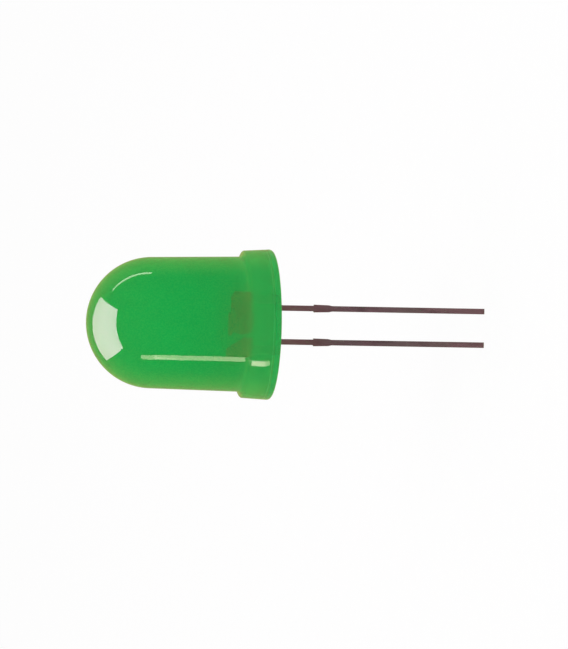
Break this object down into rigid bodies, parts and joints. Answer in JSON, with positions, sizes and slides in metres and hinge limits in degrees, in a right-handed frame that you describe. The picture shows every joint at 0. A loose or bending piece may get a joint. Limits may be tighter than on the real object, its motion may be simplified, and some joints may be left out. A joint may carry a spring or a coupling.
{
  "type": "through hole led",
  "caption": "Large round indicator LED: green diffused domed lens with a flange, on two long straight leads for soldering through a board.",
  "frame": {"origin": "centre of the lens's flat base face, on the lens axis, midway between the two leads; this face seats on the board", "axes": "+Z along the lens axis towards the dome; the leads run down -Z; +X towards the cathode lead, so both leads lie in the XZ plane"},
  "size_m": [0.0112, 0.0112, 0.0302],
  "materials": {
    "green_epoxy": "glossy cast epoxy, tinted green and diffused, with the lead frame dimly visible inside",
    "lead_metal": "tarnished plating, dull brown-grey",
    "die_crystal": "sawn semiconductor crystal",
    "silver_glue": "silver-filled epoxy",
    "gold_wire": "drawn gold wire"
  },
  "bodies": {
    "root": {"lens_body": "green_epoxy", "cathode_lead": "lead_metal", "anode_lead": "lead_metal", "led_die": "die_crystal", "die_attach": "silver_glue", "bond_wire": "gold_wire"}
  },
  "joints": []
}
